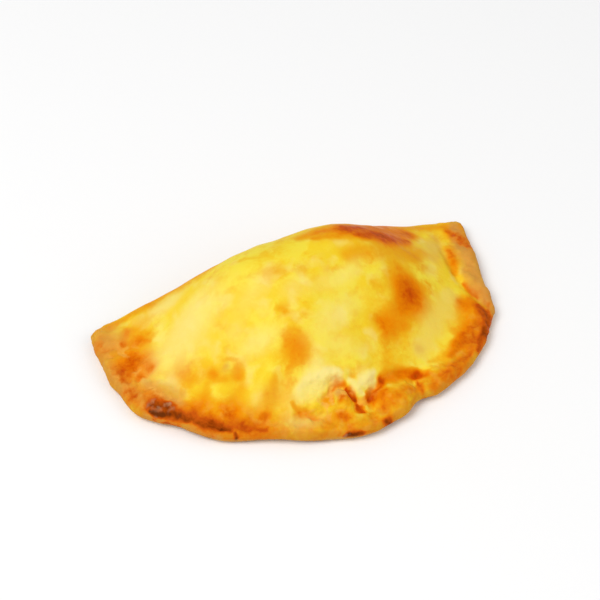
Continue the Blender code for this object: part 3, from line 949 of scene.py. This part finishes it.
def crust_material(settings):
    """Egg-washed dough: yellow on top, browned in spots and at the rim, dry and brown beneath,
    with painted shade at the rim and painted highlights.
    """
    material = bpy.data.materials.new("crust")
    nodes = Nodes(material)
    place = nodes.add("ShaderNodeTexCoord").outputs["Object"]
    rim = nodes.attribute("rim")
    dry = nodes.attribute("dry")
    mottle = nodes.ranged(nodes.noise(place, *SPECKLE_NOISE), *MOTTLING)
    outside_cream_and_highlight = nodes.ranged(nodes.attribute("cream_and_highlight"), *OUTSIDE_CREAM_AND_HIGHLIGHT)
    brown = browning(nodes, place, rim, mottle, outside_cream_and_highlight)
    colour = browning_ramp(nodes, brown, settings)

    # Places drift a little, so that clouds, wisps and flecks keep no clean edge
    drift = nodes.vector("SUBTRACT", nodes.noise(place, *DRIFT_NOISE, "Color"), NOISE_MIDDLE)
    loose = nodes.vector("ADD", place, nodes.scaled(drift, DRIFT_REACH))

    # Lemon clouds, cream wisps, cream ridges and patches that are partly painted highlights, dull
    # places that are partly painted shade, and dry dough
    unbrowned = nodes.ranged(brown, *UNBROWNED)
    for pattern, spread, hue in (
        (CLOUD_NOISE, CLOUDS, settings.lemon),
        (WISP_NOISE, WISPS, settings.cream_and_highlight),
    ):
        share = nodes.ranged(nodes.noise(loose, *pattern), *spread)
        colour = nodes.tinted(nodes.math("MULTIPLY", share, unbrowned), colour, hue)
    unburnt = nodes.ranged(brown, *UNBURNT)
    for name, hue in (("cream_and_highlight", settings.cream_and_highlight), ("dull_and_shade", settings.dull_and_shade)):
        share = nodes.math("MULTIPLY", nodes.attribute(name), unburnt)
        colour = nodes.tinted(nodes.math("MULTIPLY", share, mottle, clamp=True), colour, hue)
    share = nodes.math("MULTIPLY", dry, nodes.ranged(brown, *TAN_SHOWS))
    colour = nodes.tinted(share, colour, settings.tan)

    # Painted highlights: light glints where the rim is lumpy, greyish ones where it is burnt
    crumpled = nodes.math("MULTIPLY", nodes.attribute("crumpled"), CRUMPLED_FLECKS)
    lumpy = nodes.math("MAXIMUM", crumpled, nodes.ranged(rim, *RIM_FLECK_GLINTS))
    lumpy = nodes.math("MULTIPLY", lumpy, outside_cream_and_highlight)
    fleck_glints = nodes.ranged(nodes.noise(loose, *FLECK_GLINT_NOISE), *FLECK_GLINTS)
    fleck_glints = nodes.math("MULTIPLY", fleck_glints, lumpy)
    share = nodes.math("MULTIPLY", fleck_glints, nodes.ranged(brown, *FLECK_GLINTS_SHOW))
    colour = nodes.tinted(share, colour, settings.fleck_glint)
    # Painted highlights: greyish glints where dry folds are burnt
    streaks = nodes.ranged(nodes.noise(place, *STREAK_NOISE), *STREAKS)
    burnt = nodes.math("MULTIPLY", dry, nodes.ranged(brown, *BURNT_GLINTS_SHOW))
    colour = nodes.tinted(nodes.math("MULTIPLY", streaks, burnt), colour, settings.burnt_glint)

    # Painted shade: the rim darkens outwards, most of all at its edge
    edge_shade_share = nodes.ranged(rim, *LIP_SHADE)
    edge_shade_share = nodes.math("MULTIPLY", edge_shade_share, nodes.ranged(brown, *LIP_SHADE_SHOWS))
    rim_shade_share = nodes.ranged(rim, *RIM_SHADE)
    rim_shade_share = nodes.math("MULTIPLY", rim_shade_share, nodes.ranged(brown, *RIM_SHADE_SHOWS))
    colour = nodes.tinted(nodes.math("MAXIMUM", edge_shade_share, rim_shade_share), colour, settings.painted_rim_shade)

    # The underside, browned by the tray
    height = nodes.add("ShaderNodeSeparateXYZ")
    nodes.plug(place, height.inputs[0])
    upper = nodes.ranged(height.outputs["Z"], *ABOVE_TRAY)
    tray = nodes.ranged(nodes.noise(place, *TRAY_NOISE), *TRAY_BROWNING)
    under = nodes.tinted(tray, (*settings.tray_pale, 1.0), settings.tray_dark)
    nodes.plug(nodes.mixed(upper, under, colour), nodes.shader.inputs["Base Color"])

    # Gloss of the egg wash, which the underside and dry dough lack
    washed = nodes.ranged(nodes.noise(place, *GLOSS_NOISE), *WASH_ROUGHNESS)
    rough = nodes.math("MAXIMUM", washed, nodes.ranged(upper, *UNDER_ROUGHNESS))
    rough = nodes.math("MAXIMUM", rough, nodes.math("MULTIPLY", dry, DRY_ROUGHNESS))
    nodes.plug(rough, nodes.shader.inputs["Roughness"])
    for name, value in SHADER_VALUES:
        nodes.shader.inputs[name].default_value = value
    nodes.plug(skin_bump(nodes, place, crumpled), nodes.shader.inputs["Normal"])
    return material


def plain_material(name, colour, roughness):
    """One colour and one roughness, for the floor."""
    material = bpy.data.materials.new(name)
    nodes = Nodes(material)
    nodes.plug((*colour, 1.0), nodes.shader.inputs["Base Color"])
    nodes.plug(roughness, nodes.shader.inputs["Roughness"])
    return material


class TURNOVER_OT_crust(bpy.types.Operator):
    """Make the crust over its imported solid"""

    bl_idname = "turnover.crust"
    bl_label = "Crust"

    def execute(self, context):
        settings = context.scene.turnover_crust
        crust = node_copy("pastry", "crust")
        apply_modifier(crust, "REMESH", mode="VOXEL", voxel_size=settings.fineness)
        apply_modifier(crust, "SMOOTH", factor=SMOOTHING, iterations=SMOOTHING_ROUNDS)
        points, _ = read_points(crust)
        near_rim = 1.0 - np.clip(rim_distance(points) / settings.rim_width, 0.0, 1.0)
        raise_lumps(crust)
        press_creases(crust)
        crags = roughen(crust, settings, near_rim)
        fit_in_box(crust)
        store(crust, "rim", smooth(near_rim))
        store(crust, "crag", crags)
        store_marks(crust)
        crust.data.materials.clear()
        crust.data.materials.append(crust_material(settings))
        pick_only(crust)
        bpy.ops.object.shade_smooth()
        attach(crust, "root")
        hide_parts("pastry")
        return {"FINISHED"}


def add_area_light(name, place, size, power):
    """Adds a large soft light that points at the part."""
    bpy.ops.object.light_add(type="AREA", location=place)
    light = bpy.context.object
    light.name = name
    light.data.shape = "DISK"
    light.data.size = size
    light.data.energy = power
    light.rotation_euler = Vector(place).to_track_quat("Z", "Y").to_euler()


class TURNOVER_OT_stage(bpy.types.Operator):
    """Make the floor, the lights and the camera"""

    bl_idname = "turnover.stage"
    bl_label = "Stage"

    def execute(self, context):
        settings = context.scene.turnover_stage
        bpy.ops.object.select_all(action="DESELECT")
        bpy.ops.mesh.primitive_plane_add(size=settings.floor_size, location=(0.0, 0.0, 0.0))
        floor = context.object
        floor.name = "floor"
        material = plain_material("floor", settings.floor_colour, FLOOR_ROUGHNESS)
        floor.data.materials.append(material)
        add_area_light(*KEY_LIGHT, settings.key_power)
        add_area_light(*FILL_LIGHT, settings.fill_power)
        world = bpy.data.worlds.new("sky")
        world.use_nodes = True
        background = world.node_tree.nodes["Background"]
        background.inputs["Color"].default_value = SKY_COLOUR
        background.inputs["Strength"].default_value = settings.sky
        context.scene.world = world
        context.scene.view_settings.view_transform = "Standard"
        flat = math.cos(settings.elevation)
        back = Vector((
            math.sin(settings.azimuth) * flat,
            -math.cos(settings.azimuth) * flat,
            math.sin(settings.elevation),
        ))
        bpy.ops.object.camera_add(location=Vector(settings.target) + back * settings.distance)
        camera = context.object
        camera.name = "camera"
        camera.data.lens = settings.lens
        camera.data.clip_start = CLIP_START
        camera.rotation_euler = back.to_track_quat("Z", "Y").to_euler()
        context.scene.camera = camera
        return {"FINISHED"}


class TURNOVER_PT_panel(bpy.types.Panel):
    """Lists the turnover's pieces and its stage"""

    bl_idname = "TURNOVER_PT_panel"
    bl_label = "Turnover"
    bl_space_type = "VIEW_3D"
    bl_region_type = "UI"
    bl_category = "Turnover"

    def draw(self, context):
        for group, operator in (
            ("turnover_crust", "turnover.crust"),
            ("turnover_stage", "turnover.stage"),
        ):
            settings = getattr(context.scene, group)
            column = self.layout.column(align=True)
            for name in settings.bl_rna.properties.keys():
                if name not in ("rna_type", "name"):
                    column.prop(settings, name)
            self.layout.operator(operator)


CLASSES = (CrustSettings, StageSettings, TURNOVER_OT_crust, TURNOVER_OT_stage, TURNOVER_PT_panel)


def register():
    """Gives Blender the classes and the scene its settings."""
    for each in CLASSES:
        bpy.utils.register_class(each)
    bpy.types.Scene.turnover_crust = bpy.props.PointerProperty(type=CrustSettings)
    bpy.types.Scene.turnover_stage = bpy.props.PointerProperty(type=StageSettings)


def unregister():
    """Takes the settings and the classes away again."""
    del bpy.types.Scene.turnover_stage
    del bpy.types.Scene.turnover_crust
    for each in reversed(CLASSES):
        bpy.utils.unregister_class(each)


def main():
    """Makes the crust and the stage."""
    register()
    bpy.ops.turnover.crust()
    bpy.ops.turnover.stage()


if __name__ == "__main__":
    main()
